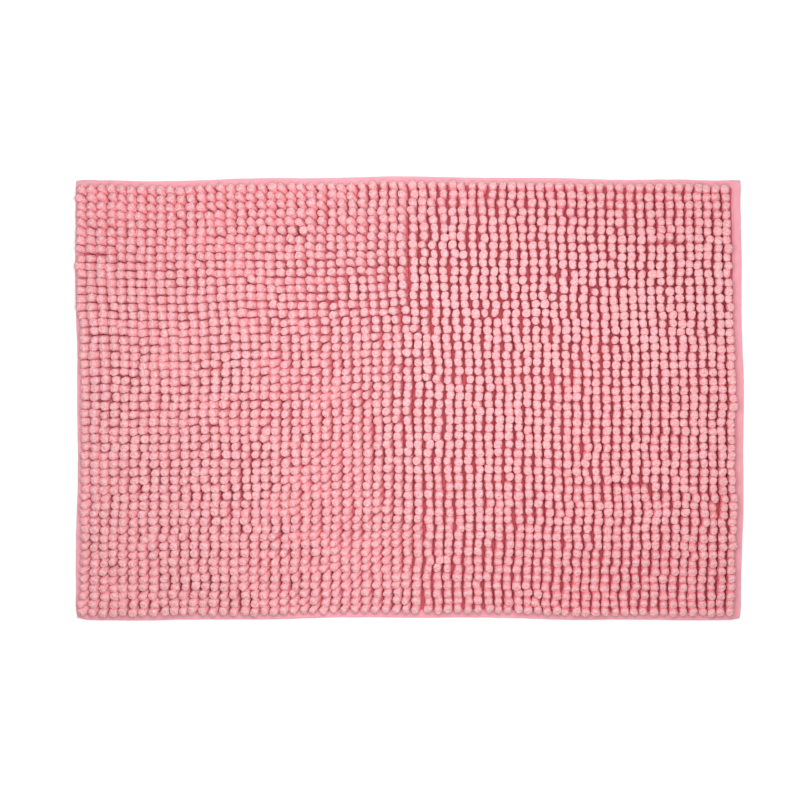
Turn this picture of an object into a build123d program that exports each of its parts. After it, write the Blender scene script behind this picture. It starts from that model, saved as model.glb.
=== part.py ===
from build123d import *
import os

# Chenille bath mat, lying flat: X is the long side, Y the short side, Z up.
# The origin is under the middle of the mat, on the face it rests on. Millimetres.

# ---- Overall size ----
mat_length = 762.0
mat_width = 504.0

# ---- Layers, from the floor up ----
backing_thickness = 1.4
cloth_thickness = 0.9
cloth_top = backing_thickness + cloth_thickness
noodle_top = 18.0

# ---- Binding tape, folded over the raw edges ----
tape_thickness = 0.6
long_flange = 9.0        # how far the front and back tapes reach in from the edge
short_flange = 10.6      # the same for the left and right tapes
fold_radius = 1.2
tape_top = cloth_top + tape_thickness
half_tape = tape_thickness / 2

# ---- Seam that holds the binding ----
seam_inset = 2.2         # from the tape's inner edge to the seam
seam_width = 0.7
seam_depth = 0.3         # how deep the thread is pulled into the tape
seam_proud = 0.15        # how far the needle thread stands above the tape
seam_clearance = 0.05    # the bobbin thread stays this far above the floor
seam_end_gap = 0.5       # from each end of a seam to the crossing tape

# ---- Chenille pile ----
strand_count = 66        # strands run along Y
noodles_per_strand = 52
strands_per_node = 2
left_margin = 15.4       # mat's left edge to the middle of the first strand
right_margin = 16.9      # mat's right edge to the middle of the last strand
front_margin = 20.0      # mat's front edge to the middle of a strand's first noodle
back_margin = 15.0       # mat's back edge to the middle of its last noodle
strand_bow = 4.5         # how far the middle strands sit towards +X of an even spacing
noodle_radius = 4.3
noodle_rounding = 2.2    # slope at the noodle's tip
foot_width = 9.0         # the cord's flattened run on the cloth, under its noodles
foot_height = 1.0

# ---- Thread that locks each strand to the cloth ----
lock_thread_width = 0.8
lock_thread_height = 0.25

half_length = mat_length / 2
half_width = mat_width / 2
inner_length = mat_length - 2 * tape_thickness
inner_width = mat_width - 2 * tape_thickness
strand_length = mat_width - front_margin - back_margin
strand_middle = (front_margin - back_margin) / 2
strand_pitch = (mat_length - left_margin - right_margin) / (strand_count - 1)
noodle_pitch = strand_length / (noodles_per_strand - 1)


def block(size_x, size_y, low, high, x=0.0, y=0.0):
    """A box centred on x, y that stands from low to high."""
    return Pos(x, y, (low + high) / 2) * Box(size_x, size_y, high - low)


def strand_places():
    """Middles of the strands along X, a little closer together towards +X."""
    places = []
    for i in range(strand_count):
        share = i / (strand_count - 1)
        even = -half_length + left_margin + i * strand_pitch
        places.append(even + strand_bow * 4 * share * (1 - share))
    return places


def noodle_places():
    return [-half_width + front_margin + i * noodle_pitch for i in range(noodles_per_strand)]


def make_base_cloth():
    """The woven ground that carries the pile, cut inside the binding's folds."""
    return block(inner_length, inner_width, backing_thickness, cloth_top)


def make_backing():
    """Rubbery coating under the cloth, thinner where the binding tape is sewn in."""
    skin = block(inner_length, inner_width, tape_thickness, backing_thickness)
    pad_length = mat_length - 2 * short_flange
    pad_width = mat_width - 2 * long_flange
    backing = skin + block(pad_length, pad_width, 0, tape_thickness)
    return backing - make_lock_threads()


def make_lock_threads():
    """One thread under each strand, between the cloth and the coating."""
    low = backing_thickness - lock_thread_height
    length = strand_length + 2 * noodle_radius
    return [
        block(lock_thread_width, length, low, backing_thickness, x=x, y=strand_middle)
        for x in strand_places()
    ]


def make_strand():
    """One chenille cord at x = 0: a flat run along the cloth, raised into noodles."""
    foot_top = cloth_top + foot_height
    foot = block(foot_width, strand_length + foot_width, cloth_top, foot_top, y=strand_middle)
    height = noodle_top - foot_top
    noodle = Pos(0, 0, foot_top + height / 2) * Cylinder(noodle_radius, height)
    tip_edge = noodle.edges().filter_by(GeomType.CIRCLE).sort_by(Axis.Z)[-1]
    noodle = chamfer(tip_edge, noodle_rounding)
    return foot + [Pos(0, y, 0) * noodle for y in noodle_places()]


def folded_tape(length, flange):
    """Tape folded over an edge at y = 0, reaching to y = flange, lying along X."""
    outer = block(length, flange, 0, tape_top, y=flange / 2)
    fold_edges = outer.edges().filter_by(Axis.X).group_by(Axis.Y)[0]
    outer = fillet(fold_edges, fold_radius)
    slot = block(length, flange, tape_thickness, cloth_top, y=flange / 2 + tape_thickness)
    return outer - slot


def seam_threads(length, flange):
    """Needle thread on top of the tape and bobbin thread under it, along X."""
    y = flange - seam_inset
    needle = block(length, seam_width, tape_top - seam_depth, tape_top + seam_proud, y=y)
    bobbin = block(length, seam_width, seam_clearance, seam_depth, y=y)
    return needle, bobbin


def seam_grooves(length, flange):
    """The two hollows that the seam's threads are pulled into."""
    y = flange - seam_inset
    upper = block(length, seam_width, tape_top - seam_depth, tape_top, y=y)
    lower = block(length, seam_width, 0, seam_depth, y=y)
    return [upper, lower]


def make_long_tape(seam_length):
    """Front or back tape. Its ends are half as thick, under the side tapes."""
    length = inner_length
    tape = folded_tape(length, long_flange) - seam_grooves(seam_length, long_flange)
    covered = short_flange - tape_thickness
    for side in (-1, 1):
        x = side * (length / 2 - covered / 2)
        tape -= block(covered, long_flange, tape_top - half_tape, tape_top, x, long_flange / 2)
        tape -= block(covered, long_flange, 0, half_tape, x, long_flange / 2)
    return tape


def make_side_tape(seam_length):
    """Left or right tape, full width of the mat. Its ends lap over the long tapes."""
    length = mat_width
    tape = folded_tape(length, short_flange) - seam_grooves(seam_length, short_flange)
    for side in (-1, 1):
        x = side * (length / 2 - long_flange / 2)
        y = short_flange / 2 + tape_thickness
        tape -= block(long_flange, short_flange, half_tape, tape_top - half_tape, x, y)
    return tape


def save(shape, name):
    export_step(shape, f"parts/{name}.step")


os.makedirs("parts", exist_ok=True)

save(make_base_cloth(), "base_cloth")
save(make_backing(), "anti_slip_backing")
save(Compound(make_lock_threads()), "pile_lock_threads")

# each edge's tape and seam is made lying along X, then turned into place
long_seam = mat_length - 2 * (short_flange + seam_end_gap)
side_seam = mat_width - 2 * (long_flange + seam_end_gap)
long_tape = make_long_tape(long_seam)
side_tape = make_side_tape(side_seam)
edges = [
    ("front", Pos(0, -half_width, 0), long_tape, long_seam, long_flange),
    ("back", Pos(0, half_width, 0) * Rot(0, 0, 180), long_tape, long_seam, long_flange),
    ("left", Pos(-half_length, 0, 0) * Rot(0, 0, -90), side_tape, side_seam, short_flange),
    ("right", Pos(half_length, 0, 0) * Rot(0, 0, 90), side_tape, side_seam, short_flange),
]
for edge, place, tape, seam, flange in edges:
    save(place * tape, f"binding_{edge}")
    save(Compound([place * thread for thread in seam_threads(seam, flange)]), f"seam_{edge}")

strand = make_strand()
places = strand_places()
for first in range(0, strand_count, strands_per_node):
    group = [Pos(x, 0, 0) * strand for x in places[first:first + strands_per_node]]
    number = first // strands_per_node + 1
    save(Compound(group), f"pile_strands_{number:02d}")
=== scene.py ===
import math

import bpy
import numpy as np
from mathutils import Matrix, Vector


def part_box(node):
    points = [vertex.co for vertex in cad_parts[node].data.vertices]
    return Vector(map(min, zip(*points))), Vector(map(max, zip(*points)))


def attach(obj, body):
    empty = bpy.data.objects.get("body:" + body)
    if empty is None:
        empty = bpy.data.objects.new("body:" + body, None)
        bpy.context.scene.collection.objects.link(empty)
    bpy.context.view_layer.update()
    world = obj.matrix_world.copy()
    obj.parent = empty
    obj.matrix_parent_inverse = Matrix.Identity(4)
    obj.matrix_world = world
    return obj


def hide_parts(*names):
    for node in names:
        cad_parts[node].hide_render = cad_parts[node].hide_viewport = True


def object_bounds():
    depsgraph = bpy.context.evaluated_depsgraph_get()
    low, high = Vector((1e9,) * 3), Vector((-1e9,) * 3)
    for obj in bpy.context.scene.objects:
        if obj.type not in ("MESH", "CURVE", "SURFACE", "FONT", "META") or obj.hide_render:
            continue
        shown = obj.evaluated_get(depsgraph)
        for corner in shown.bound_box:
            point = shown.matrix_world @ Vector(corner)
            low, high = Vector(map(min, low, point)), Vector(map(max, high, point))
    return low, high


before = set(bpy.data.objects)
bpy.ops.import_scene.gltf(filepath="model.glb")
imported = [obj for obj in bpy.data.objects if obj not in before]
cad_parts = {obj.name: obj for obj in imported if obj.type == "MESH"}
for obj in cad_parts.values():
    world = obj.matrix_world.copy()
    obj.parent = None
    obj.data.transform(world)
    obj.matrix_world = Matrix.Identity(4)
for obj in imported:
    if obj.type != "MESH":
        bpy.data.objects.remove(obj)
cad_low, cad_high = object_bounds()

# A chenille bath mat lying flat. X is the long side, Y the short side, Z up, in metres.
MM = 0.001
BODY = "root"
SEED = 7

# ---------------------------------------------------------------- sizes from the frame
STRAND_NODES = sorted(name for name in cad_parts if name.startswith("pile_strands_"))
STRANDS_PER_NODE = 2
NOODLES_PER_STRAND = 52
strand_count = STRANDS_PER_NODE * len(STRAND_NODES)

half_length = cad_high.x
half_width = cad_high.y
cloth_low, cloth_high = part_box("base_cloth")
cloth_top = cloth_high.z
tape_thickness = half_length - cloth_high.x
tape_top = cloth_top + tape_thickness
long_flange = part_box("binding_front")[1].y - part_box("binding_front")[0].y
short_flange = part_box("binding_left")[1].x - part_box("binding_left")[0].x

foot_width = 9 * MM      # the cord's flattened run on the cloth, under its noodles
pair_low, pair_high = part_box(STRAND_NODES[0])
noodle_top = pair_high.z
noodle_length = noodle_top - cloth_top
first_noodle_y = pair_low.y + foot_width / 2
noodle_pitch = (pair_high.y - pair_low.y - foot_width) / (NOODLES_PER_STRAND - 1)


def strand_places():
    """Middles of the strands along X: each node holds two strands, one at each side of its box."""
    places = []
    for node in STRAND_NODES:
        low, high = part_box(node)
        places += [low.x + foot_width / 2, high.x - foot_width / 2]
    return np.array(places)


strand_x = strand_places()


# ---------------------------------------------------------------- noise and ramps
def ramp(value, start, length):
    """0 up to start, rising evenly to 1 over a length."""
    return np.clip((value - start) / length, 0, 1)


def smooth_noise(points, cell, seed):
    """Smooth random values from -1 to 1, one lattice value each cell, at points in 2 or 3 dimensions."""
    scaled = np.asarray(points, float) / cell
    corner = np.floor(scaled).astype(int)
    share = scaled - corner
    share = share * share * (3 - 2 * share)
    corner = corner - corner.min(axis=0)
    dims = corner.shape[1]
    lattice = np.random.default_rng(seed).uniform(-1, 1, corner.max(axis=0) + 2)
    total = np.zeros(len(corner))
    for picks in range(2 ** dims):
        weight = np.ones(len(corner))
        index = []
        for axis in range(dims):
            far = picks >> axis & 1
            weight = weight * (share[:, axis] if far else 1 - share[:, axis])
            index.append(corner[:, axis] + far)
        total += weight * lattice[tuple(index)]
    return total


# ---------------------------------------------------------------- how the mat lies
def lie(x, y):
    """Where a point of the flat mat lies: the soft mat waves a little, and its corners are pulled in."""
    sway = 1.6 * MM * np.cos(2 * math.pi * (y + 40 * MM) / (480 * MM))
    rise = 1.6 * MM * np.cos(2 * math.pi * x / (600 * MM))
    ripple_x = 0.5 * MM * np.sin(2 * math.pi * y / (145 * MM) + np.sign(x))
    ripple_y = 0.5 * MM * np.sin(2 * math.pi * x / (170 * MM) + 2 * np.sign(y))
    new_x = x + sway + ripple_x
    new_y = y + rise + ripple_y
    # the back edge is drawn in a little near both its ends
    near_back = ramp(y, 0, half_width) ** 2
    drawn = np.exp(-((x + 310 * MM) / (90 * MM)) ** 2) + np.exp(-((x - 350 * MM) / (30 * MM)) ** 2)
    new_y = new_y - 1.6 * MM * near_back * drawn
    for side_x, side_y, pull in CORNER_PULLS:
        away = np.hypot(x - side_x * half_length, y - side_y * half_width)
        share = pull * np.exp(-(away / (9 * MM)) ** 2)
        new_x = new_x - side_x * share
        new_y = new_y - side_y * share
    return new_x, new_y


# each corner's side in X and Y, and how far the folded tape draws it in
CORNER_PULLS = [
    (-1, -1, 1.9 * MM),
    (1, -1, 1.7 * MM),
    (-1, 1, 1.2 * MM),
    (1, 1, 0.5 * MM),
]


# ---------------------------------------------------------------- mesh helpers
def make_mesh(name, verts, faces, material):
    """A mesh object from arrays of points and of quads."""
    mesh = bpy.data.meshes.new(name)
    verts = np.asarray(verts, np.float32).reshape(-1, 3)
    faces = np.asarray(faces, np.int32).reshape(-1, 4)
    mesh.vertices.add(len(verts))
    mesh.vertices.foreach_set("co", verts.ravel())
    mesh.loops.add(4 * len(faces))
    mesh.loops.foreach_set("vertex_index", faces.ravel())
    mesh.polygons.add(len(faces))
    mesh.polygons.foreach_set("loop_start", np.arange(0, 4 * len(faces), 4, dtype=np.int32))
    mesh.polygons.foreach_set("use_smooth", np.full(len(faces), True))
    mesh.materials.append(material)
    mesh.update(calc_edges=True)
    mesh.validate()
    piece = bpy.data.objects.new(name, mesh)
    bpy.context.scene.collection.objects.link(piece)
    return piece


def ring_faces(rings, around):
    """Quads between rings of points, each ring closed."""
    ring = np.arange(rings - 1)[:, None] * around
    step = np.arange(around)[None, :]
    after = (step + 1) % around
    return np.stack([ring + step, ring + after, ring + around + after, ring + around + step],
                    axis=-1).reshape(-1, 4)


def settle(piece, slot, *nodes):
    """Rides the piece on the mat's body, in place of CAD nodes, which it hides; slot is not used."""
    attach(piece, BODY)
    if nodes:
        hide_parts(*nodes)
    return piece


# ---------------------------------------------------------------- the pile
CAP_RADIUS = 4.7 * MM
ROOT_SHARE = 0.85           # a noodle's root, pinched by its stitch, against its cap
ALONG_STRAND = 1.19         # one that stands upright is this much wider along its strand
LEFT_WIDENING = 0.08        # at the left, where they lie over, all are wider by this share
DOME_HEIGHT = 3.6 * MM
DOME_SQUARENESS = 0.80      # 1 is an ellipse, less is a flatter cap with a sharper shoulder
STEM_CURVE = 1.15           # above 1, a leaning noodle starts upright and bends over
FLUFF = 0.5 * MM            # relief of the fibre ends
PAINTED_PILE_SHADE = "painted_pile_shade"   # painted shade: 0 at a noodle's open tip, 1 at its root and where it presses on another
LEFT_FRONT_SHIFT = 3.6 * MM  # how far to the left the feet at the left front are set
AROUND = 24
STEM_RINGS = 6
DOME_RINGS = 12


def left_share(x):
    """0 over the right of the mat, rising to 1 at its left."""
    return ramp(-x, 60 * MM, 150 * MM)


def front_share(y):
    """0 over the back of the mat, rising to 1 at its front."""
    return ramp(-y, -100 * MM, 200 * MM)


def upright_shift(x, y):
    """How far towards the front the feet are set, so that the noodles stand more upright there."""
    left = left_share(x)
    front = front_share(y)
    back = ramp(y, 60 * MM, 80 * MM)
    return (2.4 * left * (1 - front) + 4.0 * front * (0.6 + 0.4 * left) + 3.0 * back * (1 - left)) * MM


def sewn_offset(x, y):
    """How far along X the strands are sewn from their even places."""
    # a bow, to the left near the back and to the right near the front
    bow = 0.8 * MM * (1 - np.tanh((y + 105 * MM) / (20 * MM)))
    bow -= 1.5 * MM * (1 + np.tanh((y - 110 * MM) / (25 * MM)))
    offset = bow * ramp(x, -half_length, 130 * MM)
    # feet are set against the lean, so that the tips stand evenly
    on_right = ramp(x, 0, half_length)
    offset += (4.4 * (1 - 0.72 * on_right ** 4) - 0.6) * MM * on_right
    offset += 3.1 * MM * (np.tanh((x + 35 * MM) / (60 * MM)) - np.tanh((x + 5 * MM) / (60 * MM)))
    from_rim = ramp(x, 20 * MM - half_length, 40 * MM)
    return offset - LEFT_FRONT_SHIFT * left_share(x) * front_share(y) * from_rim


def pile_grid():
    """Feet of all noodles as the mat lies, as an array of strands by noodles by x and y."""
    y = first_noodle_y + noodle_pitch * np.arange(NOODLES_PER_STRAND)
    grid_x, grid_y = np.meshgrid(strand_x, y, indexing="ij")
    flat = np.stack([grid_x.ravel(), grid_y.ravel()], axis=1)
    wander = 0.45 * MM
    moved_x = wander * smooth_noise(flat, 60 * MM, SEED).reshape(grid_x.shape)
    moved_y = wander * smooth_noise(flat, 60 * MM, SEED + 1).reshape(grid_x.shape)
    moved_x += sewn_offset(grid_x, grid_y)
    moved_y -= upright_shift(grid_x, grid_y)
    lie_x, lie_y = lie(grid_x + moved_x, grid_y + moved_y)
    return np.stack([lie_x, lie_y], axis=-1)


# partings, where the pile falls open: centre x and y, half length, angle, and how far tips part
PARTINGS = [
    (295 * MM, 173 * MM, 34 * MM, 0, 1.3 * MM),
    (264 * MM, 126 * MM, 46 * MM, 3, 1.3 * MM),
    (260 * MM, -97 * MM, 80 * MM, -2, 1.6 * MM),
    (0 * MM, 182 * MM, 68 * MM, 88, 1.0 * MM),
    (-352 * MM, 165 * MM, 30 * MM, 4, 1.2 * MM),
    (70 * MM, -176 * MM, 40 * MM, 30, 1.4 * MM),
    (150 * MM, 28 * MM, 60 * MM, 2, 1.2 * MM),
]


def parted(feet):
    """How the partings push the tips of the noodles on either side of them."""
    push = np.zeros_like(feet)
    for x, y, reach, degrees, depth in PARTINGS:
        turn = math.radians(degrees)
        along = np.array([math.cos(turn), math.sin(turn)])
        across = np.array([-along[1], along[0]])
        offset = feet - np.array([x, y])
        run = offset @ along
        side = offset @ across
        share = np.exp(-(run / reach) ** 4) * np.exp(-(side / (13 * MM)) ** 2)
        push += (depth * share * np.sign(side))[..., None] * across
    return push


def lean(feet):
    """How far each noodle's tip stands from its foot before it meets its neighbours."""
    x = feet[..., 0]
    y = feet[..., 1]
    from_left = x + half_length
    from_back = half_width - y
    from_front = half_width + y
    on_right = ramp(x, 0, half_length)
    # the left half lies over to the left, most of all its first strands, and the right half a little
    lean_x = 3.1 * MM * np.tanh((x + 5 * MM) / (60 * MM)) - 3.1 * MM
    lean_x -= 0.9 * MM * on_right + 10 * MM * np.exp(-from_left / (10 * MM))
    lean_x -= 3.0 * MM * on_right ** 0.5 * np.exp(-from_back / (22 * MM))
    lean_x += LEFT_FRONT_SHIFT * left_share(x) * front_share(y)
    # all lies to the front, except the rows along the back edge
    lean_y = 5.4 * MM * y / half_width - 5.4 * MM
    lean_y += 4.4 * MM * np.exp(-(from_back / (75 * MM)) ** 2)
    lean_y += 3.2 * MM * np.exp(-from_front / (20 * MM)) + upright_shift(x, y)
    result = np.stack([lean_x, lean_y], axis=-1)
    return result + uneven(feet.reshape(-1, 2)).reshape(result.shape) + parted(feet)


def uneven(places):
    """Random lean: slow waves, strips of neighbours that lean together, and each noodle's own."""
    own = np.random.default_rng(SEED + 40).normal(0, 1, (len(places), 2))
    total = own * np.array([0.60 * MM, 0.55 * MM])
    strips = [
        (1.7 * MM, places * [0.3, 1.0]),
        (1.25 * MM, places * [1.0, 0.45]),
    ]
    for axis, (strength, stretched) in enumerate(strips):
        seed = SEED + 10 + axis
        total[:, axis] += 0.7 * MM * smooth_noise(places, 70 * MM, seed)
        total[:, axis] += 0.8 * MM * smooth_noise(places, 26 * MM, seed + 10)
        total[:, axis] += strength * smooth_noise(stretched, 9 * MM, seed + 20)
    # the strands stand straighter at the right than at the left
    total[:, 0] *= 0.98 - 0.2 * np.tanh(places[:, 0] / (150 * MM))
    return total


def settled_tips(feet, wanted):
    """Tips after they have pushed each other apart, pulled back towards where they want to stand."""
    least = 8.2 * MM
    tips = wanted.copy()
    neighbours = [(0, 1), (1, 0), (1, 1), (1, -1)]
    for _ in range(50):
        push = np.zeros_like(tips)
        for across, along in neighbours:
            here, there = grid_pair(across, along)
            gap = tips[there] - tips[here]
            distance = np.linalg.norm(gap, axis=-1, keepdims=True) + 1e-9
            shove = 0.45 * np.maximum(least - distance, 0) * gap / distance
            push[there] += shove
            push[here] -= shove
        tips += push + 0.07 * (wanted - tips)
    return tips


def grid_pair(across, along):
    """Slices of the pile's grid that pair each noodle with one some steps away."""
    here = [slice(None), slice(None)]
    there = [slice(None), slice(None)]
    for axis, step in ((0, across), (1, along)):
        if step > 0:
            here[axis] = slice(0, -step)
            there[axis] = slice(step, None)
        elif step < 0:
            here[axis] = slice(-step, None)
            there[axis] = slice(0, step)
    return tuple(here), tuple(there)


def noodle_rings():
    """Each ring's share along the stem, radius and height over the shoulder."""
    stem = np.linspace(0, 1, STEM_RINGS)
    stem_radius = CAP_RADIUS * (ROOT_SHARE + (1 - ROOT_SHARE) * np.sin(stem * math.pi / 2) ** 0.9)
    angle = np.linspace(0, math.pi / 2, DOME_RINGS + 1)[1:]
    angle[-1] = math.radians(88)
    dome_radius = CAP_RADIUS * np.cos(angle) ** DOME_SQUARENESS
    dimple = 0.3 * MM * np.exp(-(dome_radius / (1.2 * MM)) ** 2)
    share = np.concatenate([stem, np.ones(DOME_RINGS)])
    radius = np.concatenate([stem_radius, dome_radius])
    over = np.concatenate([np.zeros(STEM_RINGS), DOME_HEIGHT * np.sin(angle) ** DOME_SQUARENESS - dimple])
    return share, radius, over


def unit(vectors):
    return vectors / (np.linalg.norm(vectors, axis=-1, keepdims=True) + 1e-12)


def noodle_axes(feet, reach, share, rng):
    """Each noodle's curved axis, and the way it points, at each ring."""
    length = noodle_length * (1 + rng.normal(0, 0.05, feet.shape[:2])).clip(0.86, 1.1)
    length[0] *= 0.8      # the binding presses the first strand down
    stem_length = length - DOME_HEIGHT
    least_height = 0.62 * stem_length
    tilt = np.linalg.norm(reach, axis=-1)
    height = np.sqrt(np.maximum(stem_length ** 2 - tilt ** 2, least_height ** 2))
    axis = np.empty(feet.shape[:2] + (len(share), 3))
    axis[..., :2] = feet[:, :, None, :] + reach[:, :, None, :] * share[:, None] ** STEM_CURVE
    axis[..., 2] = cloth_top + height[..., None] * share
    # the rings lie flat at the root and turn square to the noodle further up
    turned = STEM_CURVE * np.clip(1.5 * share, 0, 1)
    tangent = np.empty_like(axis)
    tangent[..., :2] = reach[:, :, None, :] * turned[:, None]
    tangent[..., 2] = height[..., None]
    return axis, unit(tangent)


def noodle_widths(feet, reach, radius, angle, rng):
    """How far each surface point is from its noodle's axis, before it meets its neighbours."""
    tilt_x = np.abs(reach[..., 0])
    on_left = left_share(feet[..., 0])
    size = 1 + rng.normal(0, 0.05, tilt_x.shape).clip(-0.11, 0.11)
    size = size * (1 - 0.03 * np.clip(tilt_x / (6 * MM) - 0.4, 0, 1))
    size = size * (1 + LEFT_WIDENING * on_left)
    oval = 1 + 0.07 * np.cos(2 * angle + rng.uniform(0, 6.28, tilt_x.shape)[..., None, None])
    upright = np.clip(1.2 - tilt_x / (5 * MM), 0, 1) * (1 - on_left)
    oval = oval * (1 + (ALONG_STRAND - 1) * upright[..., None, None] * np.sin(angle) ** 2)
    return radius[:, None] * size[..., None, None] * oval


def fluffed(points, normal):
    """Points moved along their normals by the relief of the fibre ends."""
    flat = points.reshape(-1, 3)
    fluff = FLUFF * smooth_noise(flat, 2.0 * MM, SEED + 60)
    fluff += 0.8 * FLUFF * smooth_noise(flat, 1.3 * MM, SEED + 61)
    return points + normal * fluff.reshape(points.shape[:-1])[..., None]


def painted_shade_strength(x, y):
    """How strong the pile's painted shade is: less where the pile lies over, and more where it stands open.
    """
    lying = left_share(x) * ramp(-y, -195 * MM, 130 * MM)
    return 1 + 1.8 * ramp(x, 0, 150 * MM) - 0.2 * lying + 0.8 * left_share(x) * (1 - lying)


def painted_shade_in_pile(feet, share, steep, normal, room):
    """Painted shade at each surface point, from 0 at the open tips to 1 at the roots, by how deep it lies
    in the pile.
    """
    # painted shade: deepest at the root, fading up the stem and over the cap's shoulder to nothing at its
    # top
    shade_share = np.clip(1.2 - share, 0, 1)[:, None] * (1 - steep)
    shade_share = shade_share * painted_shade_strength(feet[..., 0], feet[..., 1])[..., None, None]
    # light falls on flanks that face up, and on those that face along the strand
    shade_share = shade_share * (1 - 0.8 * normal[..., 2].clip(0, 1)) * (1 - 0.5 * normal[..., 1] ** 2)
    # painted shade in the crease where a noodle presses on its neighbour
    crease_shade = 0.12 * np.exp(-room / (0.8 * MM)) * (1 - steep ** 2)
    return np.clip(shade_share + crease_shade, 0, 1)


def pile_points(feet, tips):
    """Surface points of every noodle, as strands, noodles, rings, points around and x, y, z, and each
    point's painted shade.
    """
    rng = np.random.default_rng(SEED + 50)
    share, radius, over = noodle_rings()
    reach = tips - feet
    axis, tangent = noodle_axes(feet, reach, share, rng)
    first = unit(np.cross(np.array([0.0, 1.0, 0.0]), tangent))
    second = np.cross(tangent, first)
    turn = rng.uniform(0, 2 * math.pi, feet.shape[:2])[..., None, None]
    angle = turn + np.linspace(0, 2 * math.pi, AROUND, endpoint=False)
    outward = (first[..., None, :] * np.cos(angle)[..., None]
               + second[..., None, :] * np.sin(angle)[..., None])
    rise = (tangent * over[:, None])[..., None, :]
    widths = noodle_widths(feet, reach, radius, angle, rng)
    points = axis[..., None, :] + rise + outward * widths[..., None]

    steep = np.clip(over / DOME_HEIGHT, 0, 1)[:, None]
    flank = steep[..., None]
    normal = unit(outward * (1 - flank ** 2 * 0.85) + tangent[..., None, :] * flank)
    points, room = squeezed(fluffed(points, normal), axis)
    points[..., 2] = np.maximum(points[..., 2], cloth_top)
    return points, painted_shade_in_pile(feet, share, steep, normal, room)


def squeezed(points, axis):
    """Flattens each noodle where it presses on a neighbour. Also returns each point's room there."""
    skin = 0.05 * MM
    softness = 0.15 * MM
    stems = axis[:, :, :STEM_RINGS]
    ring = np.minimum(np.arange(points.shape[2]), STEM_RINGS - 1)
    core = stems[:, :, ring, None, :]
    offset = points - core
    room = np.full(points.shape[:-1], CAP_RADIUS)
    for across, along in [(0, 1), (1, 0), (1, 1), (1, -1)]:
        here, there = grid_pair(across, along)
        for mine, other in ((here, there), (there, here)):
            gap = (nearest_on(stems[other], stems[mine]) - stems[mine])[:, :, ring]
            distance = np.linalg.norm(gap, axis=-1)
            toward = gap / distance[..., None]
            limit = distance / 2 - skin
            reach = np.einsum("ijrac,ijrc->ijra", offset[mine], toward)
            extra = softness * np.logaddexp(0, (reach - limit[..., None]) / softness)
            offset[mine] -= extra[..., None] * toward[..., None, :]
            room[mine] = np.minimum(room[mine], limit[..., None] - reach + extra)
    return core + offset, room


def nearest_on(stems, points):
    """The nearest place on each stem to each of its points."""
    nearest = np.broadcast_to(stems[:, :, :1], points.shape).copy()
    least = np.linalg.norm(points - nearest, axis=-1)
    for ring in range(STEM_RINGS - 1):
        start = stems[:, :, ring:ring + 1]
        run = stems[:, :, ring + 1:ring + 2] - start
        share = np.sum((points - start) * run, axis=-1) / np.sum(run * run, axis=-1)
        place = start + np.clip(share, 0, 1)[..., None] * run
        distance = np.linalg.norm(points - place, axis=-1)
        closer = distance < least
        nearest[closer] = place[closer]
        least[closer] = distance[closer]
    return nearest


def closed_shells(points):
    """Vertices and quads of shells whose rings are points, each end closed by a small fan of quads."""
    shells, rings, around, _ = points.shape
    faces = ring_faces(rings, around)
    half = around // 2
    step = np.arange(half - 1)
    low = np.stack([step, around - 1 - step, around - 2 - step, step + 1], axis=1)
    top = low[:, ::-1] + (rings - 1) * around
    faces = np.concatenate([faces, low, top])
    offset = np.arange(shells)[:, None, None] * rings * around
    return points.reshape(-1, 3), (faces[None] + offset).reshape(-1, 4)


def foot_cord(feet):
    """The cord's own low run along the cloth, under one strand's noodles."""
    steps = 4 * (NOODLES_PER_STRAND - 1) + 1
    place = np.linspace(0, NOODLES_PER_STRAND - 1, steps)
    index = np.arange(NOODLES_PER_STRAND)
    x = np.interp(place, index, feet[:, 0])
    y = np.interp(place, index, feet[:, 1])
    ends = foot_width / 2 * 0.9
    x = np.concatenate([[x[0]], x, [x[-1]]])
    y = np.concatenate([[y[0] - ends], y, [y[-1] + ends]])
    angle = np.linspace(0, 2 * math.pi, 12, endpoint=False)
    size_x = foot_width / 2 * 0.86 * np.cos(angle)
    size_z = 1.35 * MM * np.sin(angle)
    taper = np.ones((len(x), 1))
    taper[[0, -1]] = 0.75
    points = np.empty((len(x), len(angle), 3))
    points[..., 0] = x[:, None] + size_x * taper
    points[..., 1] = y[:, None]
    points[..., 2] = cloth_top + 1.3 * MM + size_z * taper
    rough = 0.25 * MM * smooth_noise(points.reshape(-1, 3), 2.0 * MM, SEED + 70)
    points[..., 2] += np.abs(rough.reshape(points.shape[:-1])) * np.sin(angle).clip(0)
    return points


def make_pile(material):
    """One piece for each CAD node of strands: its noodles and the cord they stand on."""
    feet = pile_grid()
    tips = settled_tips(feet, feet + lean(feet))
    points, shade = pile_points(feet, tips)
    pieces = []
    for number, node in enumerate(STRAND_NODES):
        verts, faces, painted_shades = [], [], []
        start = 0
        for strand in range(STRANDS_PER_NODE * number, STRANDS_PER_NODE * (number + 1)):
            cord = foot_cord(feet[strand])[None]
            # painted shade of each point; the cord under the noodles is fully shaded
            painted_shades += [shade[strand].ravel(), np.ones(cord.size // 3)]
            for shell in (points[strand], cord):
                shell_verts, shell_faces = closed_shells(shell)
                verts.append(shell_verts)
                faces.append(shell_faces + start)
                start += len(shell_verts)
        piece = make_mesh(f"chenille_{node}", np.concatenate(verts), np.concatenate(faces), material)
        # the painted shade, as an attribute that the pile's material reads
        depth = piece.data.attributes.new(PAINTED_PILE_SHADE, "FLOAT", "POINT")
        depth.data.foreach_set("value", np.concatenate(painted_shades).astype(np.float32))
        pieces.append(settle(piece, "chenille_pile", node))
    return pieces


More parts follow.
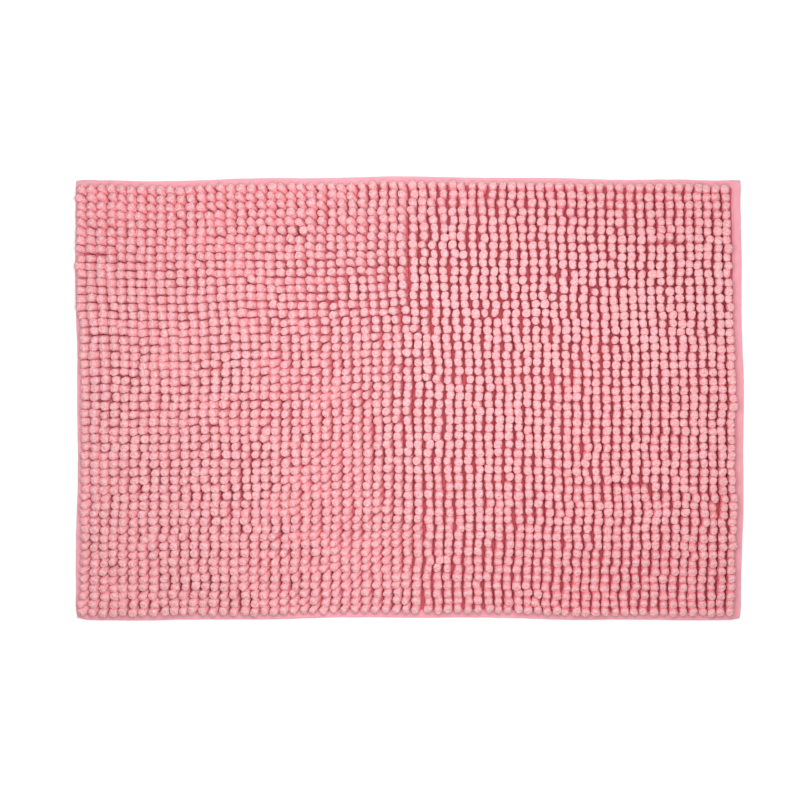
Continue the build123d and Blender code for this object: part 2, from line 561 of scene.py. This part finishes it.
# ---------------------------------------------------------------- flat layers
def slab(name, low, high, material, cell, bottom=None):
    """A flat layer of the mat between two corners, as it lies, with relief on its lower face."""
    count_x = max(2, round((high.x - low.x) / cell) + 1)
    count_y = max(2, round((high.y - low.y) / cell) + 1)
    x, y = np.meshgrid(np.linspace(low.x, high.x, count_x), np.linspace(low.y, high.y, count_y),
                       indexing="ij")
    lie_x, lie_y = lie(x, y)
    upper = np.full(x.shape, high.z)
    under = np.full(x.shape, low.z) + (bottom(x, y) if bottom else 0)
    verts = np.concatenate([
        np.stack([lie_x, lie_y, upper], axis=-1).reshape(-1, 3),
        np.stack([lie_x, lie_y, under], axis=-1).reshape(-1, 3),
    ])
    index = np.arange(count_x * count_y).reshape(count_x, count_y)
    a, b, c, d = index[:-1, :-1], index[1:, :-1], index[1:, 1:], index[:-1, 1:]
    face = np.stack([a, b, c, d], axis=-1).reshape(-1, 4)
    rim = np.concatenate([index[:, 0], index[-1, 1:], index[-2::-1, -1], index[0, -2:0:-1]])
    after = np.roll(rim, -1)
    size = count_x * count_y
    wall = np.stack([rim, rim + size, after + size, after], axis=1)
    faces = np.concatenate([face, face[:, ::-1] + size, wall])
    return make_mesh(name, verts, faces, material)


def make_cloth(material):
    piece = slab("woven_base_cloth", cloth_low, cloth_high, material, 6 * MM)
    return settle(piece, "base_cloth", "base_cloth")


def make_backing(material):
    low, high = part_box("anti_slip_backing")
    margin_x = short_flange - tape_thickness
    margin_y = long_flange - tape_thickness

    def relief(x, y):
        """Thin under the binding tape, with a rib under each strand where its cord shows through."""
        inner = np.minimum(high.x - np.abs(x) - margin_x, high.y - np.abs(y) - margin_y)
        rim = np.clip(1 - inner / (1.5 * MM), 0, 1) * tape_thickness
        phase = np.interp(x, strand_x, np.arange(strand_count))
        rib = 0.18 * MM * (0.5 - 0.5 * np.cos(2 * math.pi * phase))
        return np.maximum(rim, rib)

    piece = slab("anti_slip_coating", low, high, material, 2.9 * MM, bottom=relief)
    return settle(piece, "anti_slip_backing", "anti_slip_backing")


# ---------------------------------------------------------------- binding
def half_turn(centre_in, low, high, radius):
    """Points round a fold, from high to low."""
    corner = np.linspace(math.pi / 2, -math.pi / 2, 9)
    over = np.where(corner > 0, high - radius, low + radius)
    return np.stack([centre_in - radius * np.cos(corner), over + radius * np.sin(corner)], axis=1)


def tape_section(flange, tall):
    """The folded tape's outline in one turn: out along the top, round the fold, back, and in again."""
    fold = 1.15 * MM
    inner_fold = 0.55 * MM
    run = np.linspace(flange, fold * 1.3, 9)
    upper = np.stack([run, np.full(len(run), tall)], axis=1)
    turn = half_turn(fold, 0.0, tall, fold)
    lower = np.stack([run[::-1], np.zeros(len(run))], axis=1)
    inside_run = np.linspace(flange, inner_fold + tape_thickness, 9)
    inner_low = np.stack([inside_run, np.full(len(run), tape_thickness)], axis=1)
    inner_turn = half_turn(tape_thickness + inner_fold, tape_thickness, tall - tape_thickness, inner_fold)
    inner_high = np.stack([inside_run[::-1], np.full(len(run), tall - tape_thickness)], axis=1)
    return np.concatenate([upper, turn, lower, inner_low, inner_turn[::-1], inner_high])


SEAM_INSET = 2.2 * MM      # from the tape's inner edge to the seam
STITCH_PITCH = 3.2 * MM
SEAM_SPREAD = 0.8 * MM     # how far from the seam the tape is pulled in
BOBBIN_HOLLOW = 0.30 * MM
LAP_RISE = 0.45 * MM       # a side tape's end over the long tape's
UNDER_LAP = 0.25 * MM      # a long tape's end over the side tape's, on the lower face
TAPE_STEP = 1.6 * MM


def edge_frame(edge):
    """Where an edge starts, the way along it and the way in from it."""
    return {
        "front": ((0, -half_width), (1, 0), (0, 1)),
        "back": ((0, half_width), (-1, 0), (0, -1)),
        "left": ((-half_length, 0), (0, -1), (1, 0)),
        "right": ((half_length, 0), (0, 1), (-1, 0)),
    }[edge]


def on_edge(edge, run, into, z):
    """Points of the mat as it lies, from places along an edge and in from it."""
    (x, y), (along_x, along_y), (in_x, in_y) = edge_frame(edge)
    flat_x = x + run * along_x + into * in_x
    flat_y = y + run * along_y + into * in_y
    lie_x, lie_y = lie(flat_x, flat_y)
    return np.stack([lie_x, lie_y, z], axis=-1)


def side_tape_ends(into, z, from_end, is_upper):
    """A side tape's ends: they lap over the long tapes, spread a little there and close round."""
    lap = ramp(long_flange + 1.2 * MM - from_end, 0, 1.5 * MM)
    lap = lap * lap * (3 - 2 * lap)
    z = z + LAP_RISE * lap * is_upper
    round_end = np.sqrt(ramp(from_end, 0, 1.0 * MM))
    middle = tape_top / 2
    z = middle + (z - middle) * (0.55 + 0.45 * round_end)
    into = into + 0.9 * MM * (1 - round_end) * (into < short_flange / 2)
    spread = ramp(long_flange + 1.5 * MM - from_end, 0, 3 * MM)
    into = into + 3.2 * MM * spread * (into / short_flange) * is_upper
    return into, z


def make_tape(edge, material):
    """A tape folded over one raw edge. Side tapes lap over the long tapes at their ends."""
    is_side = edge in ("left", "right")
    flange = short_flange if is_side else long_flange
    reach = half_width if is_side else half_length - tape_thickness
    section = tape_section(flange, tape_top)
    stations = int(2 * reach / TAPE_STEP)
    run = np.broadcast_to(np.linspace(-reach, reach, stations)[:, None], (stations, len(section)))
    into = np.broadcast_to(section[:, 0], run.shape)
    z = np.broadcast_to(section[:, 1], run.shape)
    is_upper = z > tape_top / 2
    if is_side:
        into, z = side_tape_ends(into, z, reach - np.abs(run), is_upper)

    flat = np.stack([run.ravel(), into.ravel()], axis=1)
    seed = SEED + 80 + sum(map(ord, edge))
    pucker = 0.10 * MM * smooth_noise(flat * [1, 0.4], 4.5 * MM, seed).reshape(run.shape)
    seam = np.exp(-((into - (flange - SEAM_INSET)) / SEAM_SPREAD) ** 2)
    dip = (0.10 + 0.08 * np.cos(2 * math.pi * run / STITCH_PITCH)) * MM * seam
    raised = BOBBIN_HOLLOW * seam
    if not is_side:
        lapped = ramp(short_flange + 0.6 * MM - (half_length - np.abs(run)), 0, 1.2 * MM)
        raised = np.maximum(raised, UNDER_LAP * lapped)
    is_outer_low = z < tape_thickness / 2
    z = np.where(is_upper, z + pucker - dip, np.maximum(z, 0))
    z = np.where(is_outer_low, z + raised, z)
    into = into + 0.22 * MM * smooth_noise(flat, 11 * MM, seed + 1).reshape(run.shape)
    points = on_edge(edge, run, into, z)
    verts, faces = closed_shells(points[None])
    piece = make_mesh(f"binding_tape_{edge}", verts, faces, material)
    return settle(piece, "binding_tape", f"binding_{edge}")


def stitch_row(edge, run, into, z, lift):
    """Separate stitches along a seam, each a short thread that dives in at both ends."""
    thread = 0.24 * MM
    length = STITCH_PITCH * 0.82
    share = np.linspace(-1, 1, 9)
    angle = np.linspace(0, 2 * math.pi, 8, endpoint=False)
    arch = z + lift * (0.30 * MM * (1 - share ** 2) - 0.22 * MM)
    width = thread * np.sqrt(np.clip(1.02 - share ** 4, 0.05, 1))
    shape = (len(run), len(share), len(angle))
    places = np.broadcast_to(run[:, None, None] + (share * length / 2)[:, None], shape)
    across = np.broadcast_to(into + width[:, None] * np.cos(angle), shape)
    height = np.broadcast_to(arch[:, None] + width[:, None] * np.sin(angle), shape)
    return on_edge(edge, places, across, height)


def make_seam(edge, material):
    """The needle thread on top of the tape and the bobbin thread under it."""
    is_side = edge in ("left", "right")
    flange = short_flange if is_side else long_flange
    reach = (half_width - long_flange) if is_side else (half_length - short_flange)
    run = np.arange(-reach + STITCH_PITCH, reach - STITCH_PITCH / 2, STITCH_PITCH)
    into = flange - SEAM_INSET
    upper = stitch_row(edge, run, into, tape_top - 0.05 * MM, 1)
    lower = stitch_row(edge, run + STITCH_PITCH / 2, into, 0.27 * MM, -0.3)
    verts, faces = closed_shells(np.concatenate([upper, lower]))
    piece = make_mesh(f"seam_thread_{edge}", verts, faces, material)
    return settle(piece, "sewing_thread", f"seam_{edge}")


def make_lock_stitches(material):
    """One stitch under each noodle's foot, between the cloth and the coating."""
    low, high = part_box("pile_lock_threads")
    middle = (low.z + high.z) / 2
    thread = (high.z - low.z) / 2
    feet = pile_grid().reshape(-1, 2)
    share = np.linspace(-1, 1, 5)
    angle = np.linspace(0, 2 * math.pi, 6, endpoint=False)
    width = thread * np.sqrt(np.clip(1.05 - share ** 4, 0.1, 1))
    points = np.empty((len(feet), len(share), len(angle), 3))
    points[..., 0] = feet[:, 0, None, None] + 2.2 * width[None, :, None] * np.cos(angle)
    points[..., 1] = feet[:, 1, None, None] + (share * noodle_pitch * 0.42)[None, :, None]
    points[..., 2] = middle + width[None, :, None] * np.sin(angle)
    verts, faces = closed_shells(points)
    piece = make_mesh("pile_lock_stitches", verts, faces, material)
    return settle(piece, "sewing_thread", "pile_lock_threads")


# ---------------------------------------------------------------- materials
class Shader:
    """A material's nodes, with short names for what the materials here use."""

    def __init__(self, name, roughness, specular=0.25, sheen=0.0):
        self.material = bpy.data.materials.new(name)
        self.material.use_nodes = True
        self.tree = self.material.node_tree
        self.shader = self.tree.nodes["Principled BSDF"]
        self.shader.inputs["Roughness"].default_value = roughness
        self.shader.inputs["Sheen Weight"].default_value = sheen
        self.shader.inputs["Specular IOR Level"].default_value = specular
        self.place = self.node("ShaderNodeTexCoord").outputs["Object"]

    def node(self, kind, **settings):
        made = self.tree.nodes.new(kind)
        for key, value in settings.items():
            if key in made.inputs:
                made.inputs[key].default_value = value
            else:
                setattr(made, key, value)
        return made

    def link(self, source, target):
        self.tree.links.new(source, target)

    def noise(self, size, detail=2.0, roughness=0.5):
        """Noise with blobs about size metres across."""
        made = self.node("ShaderNodeTexNoise", Scale=1 / size, Detail=detail, Roughness=roughness)
        self.link(self.place, made.inputs["Vector"])
        return made.outputs["Fac"]

    def cells(self, size):
        made = self.node("ShaderNodeTexVoronoi", Scale=1 / size)
        self.link(self.place, made.inputs["Vector"])
        return made.outputs["Distance"]

    def spread(self, value, from_low, from_high, to_low=0.0, to_high=1.0):
        made = self.node("ShaderNodeMapRange")
        self.link(value, made.inputs["Value"])
        made.inputs["From Min"].default_value = from_low
        made.inputs["From Max"].default_value = from_high
        made.inputs["To Min"].default_value = to_low
        made.inputs["To Max"].default_value = to_high
        return made.outputs["Result"]

    def mix(self, share, first, second):
        """A colour between two, which are colours or sockets."""
        made = self.node("ShaderNodeMix", data_type="RGBA")
        self.link(share, made.inputs["Factor"])
        for key, value in (("A", first), ("B", second)):
            socket = next(s for s in made.inputs if s.name == key and s.type == "RGBA")
            if isinstance(value, tuple):
                socket.default_value = (*value, 1)
            else:
                self.link(value, socket)
        return next(s for s in made.outputs if s.type == "RGBA")

    def math(self, operation, first, second):
        made = self.node("ShaderNodeMath", operation=operation)
        for socket, value in zip(made.inputs, (first, second)):
            if isinstance(value, (int, float)):
                socket.default_value = value
            else:
                self.link(value, socket)
        return made.outputs[0]

    def bump(self, height, depth, after=None):
        made = self.node("ShaderNodeBump", Distance=depth)
        made.inputs["Strength"].default_value = 1.0
        self.link(height, made.inputs["Height"])
        if after:
            self.link(after, made.inputs["Normal"])
        return made.outputs["Normal"]

    def weave(self, pitch):
        """A plain weave: over and under bands along X and Y."""
        bands = []
        for direction in ("X", "Y"):
            wave = self.node("ShaderNodeTexWave", wave_type="BANDS", bands_direction=direction)
            wave.inputs["Scale"].default_value = math.pi / (10 * pitch)
            wave.inputs["Distortion"].default_value = 0.6
            wave.inputs["Detail"].default_value = 1.0
            self.link(self.place, wave.inputs["Vector"])
            bands.append(wave.outputs["Fac"])
        return self.math("MULTIPLY", bands[0], bands[1])

    def finish(self, colour, normal):
        self.link(colour, self.shader.inputs["Base Color"])
        self.link(normal, self.shader.inputs["Normal"])
        return self.material


def chenille_material():
    """Soft microfibre: deeper, redder colour at the root as painted shade, also in creases and on flanks
    turned from the light, speckled with paler and darker fibre ends.
    """
    shader = Shader("chenille_microfibre", 0.95, specular=0.0)
    # painted shade: each tone goes from its open-tip colour to a deeper, redder shaded colour
    depth = shader.node("ShaderNodeAttribute", attribute_name=PAINTED_PILE_SHADE).outputs["Fac"]
    light = shader.mix(depth, (0.98, 0.61, 0.637), (0.92, 0.26, 0.31))
    dark = shader.mix(depth, (0.93, 0.405, 0.432), (0.83, 0.12, 0.17))
    grain = shader.noise(1.8 * MM, detail=1.0, roughness=0.6)
    body = shader.mix(shader.spread(grain, 0.42, 0.58), dark, light)
    normal = shader.bump(grain, 1.6 * MM)
    return shader.finish(colour=body, normal=normal)


def cloth_material():
    shader = Shader("woven_polyester", 0.85, sheen=0.1)
    weave = shader.weave(0.9 * MM)
    # painted shade: the weave is darker where its threads dip under the crossing ones
    colour = shader.mix(weave, (0.74, 0.13, 0.17), (0.88, 0.22, 0.26))
    return shader.finish(colour=colour, normal=shader.bump(weave, 0.25 * MM))


def tape_material():
    shader = Shader("binding_tape", 0.62, sheen=0.25)
    shader.shader.inputs["Sheen Tint"].default_value = (1.0, 0.8, 0.82, 1)
    weave = shader.weave(0.55 * MM)
    cloud = shader.spread(shader.noise(14 * MM), 0.35, 0.65)
    # painted shade: where the threads dip under the crossing ones the tape is darker than where they lie
    # over
    under = shader.mix(cloud, (0.90, 0.38, 0.445), (0.92, 0.41, 0.47))
    over = shader.mix(cloud, (0.95, 0.45, 0.515), (0.97, 0.485, 0.545))
    colour = shader.mix(weave, under, over)
    normal = shader.bump(weave, 0.10 * MM)
    normal = shader.bump(shader.noise(6 * MM, detail=1.0), 0.25 * MM, after=normal)
    return shader.finish(colour=colour, normal=normal)


def thread_material():
    shader = Shader("polyester_thread", 0.5, sheen=0.1)
    twist = shader.noise(0.35 * MM, detail=1.0)
    colour = shader.mix(twist, (0.78, 0.24, 0.31), (0.92, 0.40, 0.46))
    return shader.finish(colour=colour, normal=shader.bump(twist, 0.08 * MM))


def backing_material():
    shader = Shader("latex_coating", 0.7)
    pores = shader.cells(1.6 * MM)
    cloud = shader.spread(shader.noise(30 * MM, detail=3.0), 0.35, 0.65)
    skin = shader.mix(cloud, (0.72, 0.67, 0.60), (0.80, 0.76, 0.69))
    # painted shade: darker in the pores than on the coating's skin
    pore_shade = shader.mix(cloud, (0.62, 0.56, 0.50), (0.70, 0.64, 0.57))
    colour = shader.mix(shader.spread(pores, 0.0, 0.5), pore_shade, skin)
    normal = shader.bump(pores, 0.25 * MM)
    normal = shader.bump(shader.noise(0.6 * MM), 0.10 * MM, after=normal)
    return shader.finish(colour=colour, normal=normal)


# ---------------------------------------------------------------- floor, light and camera
FLOOR_CELLS = 8


def make_floor():
    """A pale floor just under the mat."""
    reach = 3.0
    across = np.linspace(-reach, reach, FLOOR_CELLS + 1)
    x, y = np.meshgrid(across, across, indexing="ij")
    index = np.arange(x.size).reshape(x.shape)
    faces = np.stack([index[:-1, :-1], index[1:, :-1], index[1:, 1:], index[:-1, 1:]], axis=-1)
    verts = np.stack([x, y, np.full(x.shape, -0.02 * MM)], axis=-1)
    shader = Shader("pale_floor", 0.9, specular=0.1)
    shader.shader.inputs["Base Color"].default_value = (0.93, 0.93, 0.93, 1)
    shader.shader.inputs["Emission Color"].default_value = (1, 1, 1, 1)
    # painted light: the floor glows a little, less near the mat and more away from it, to stand in for a
    # brightly lit white studio table
    away = shader.node("ShaderNodeVectorMath", operation="LENGTH")
    shader.link(shader.place, away.inputs[0])
    painted_floor_glow = shader.spread(away.outputs["Value"], 0.35, 0.6, 0.10, 0.32)
    shader.link(painted_floor_glow, shader.shader.inputs["Emission Strength"])
    make_mesh("floor", verts, faces, shader.material)


def add_light(name, x, y, z, size, power):
    """A soft square light that faces the middle of the mat."""
    data = bpy.data.lights.new(name, "AREA")
    data.size = size
    data.energy = power
    light = bpy.data.objects.new(name, data)
    light.location = (x, y, z)
    light.rotation_mode = "QUATERNION"
    light.rotation_quaternion = (-light.location).to_track_quat("-Z", "Y")
    light.visible_camera = False
    bpy.context.scene.collection.objects.link(light)


def make_lights():
    world = bpy.data.worlds.new("studio")
    world.use_nodes = True
    background = world.node_tree.nodes["Background"]
    background.inputs["Color"].default_value = (1, 1, 1, 1)
    background.inputs["Strength"].default_value = 0.40
    bpy.context.scene.world = world
    add_light("overhead", 0.0, 0.08, 0.85, 0.6, 7.3)
    bpy.context.scene.view_settings.view_transform = "Standard"


CAMERA_HEIGHT = 1.4
VIEW_WIDTH = 0.917


def make_camera():
    """Straight above the mat, which sits a little right of the picture's middle."""
    data = bpy.data.cameras.new("camera")
    camera = bpy.data.objects.new("camera", data)
    camera.location = (-10.7 * MM, -1.8 * MM, CAMERA_HEIGHT)
    data.lens = data.sensor_width * CAMERA_HEIGHT / VIEW_WIDTH
    bpy.context.scene.collection.objects.link(camera)
    bpy.context.scene.camera = camera


# ---------------------------------------------------------------- the mat
make_camera()
make_lights()
make_floor()

thread = thread_material()
tape = tape_material()
EDGES = ("front", "back", "left", "right")
strands = make_pile(chenille_material())
cloth = make_cloth(cloth_material())
backing = make_backing(backing_material())
tapes = [make_tape(edge, tape) for edge in EDGES]
seams = [make_seam(edge, thread) for edge in EDGES]
lock_stitches = make_lock_stitches(thread)
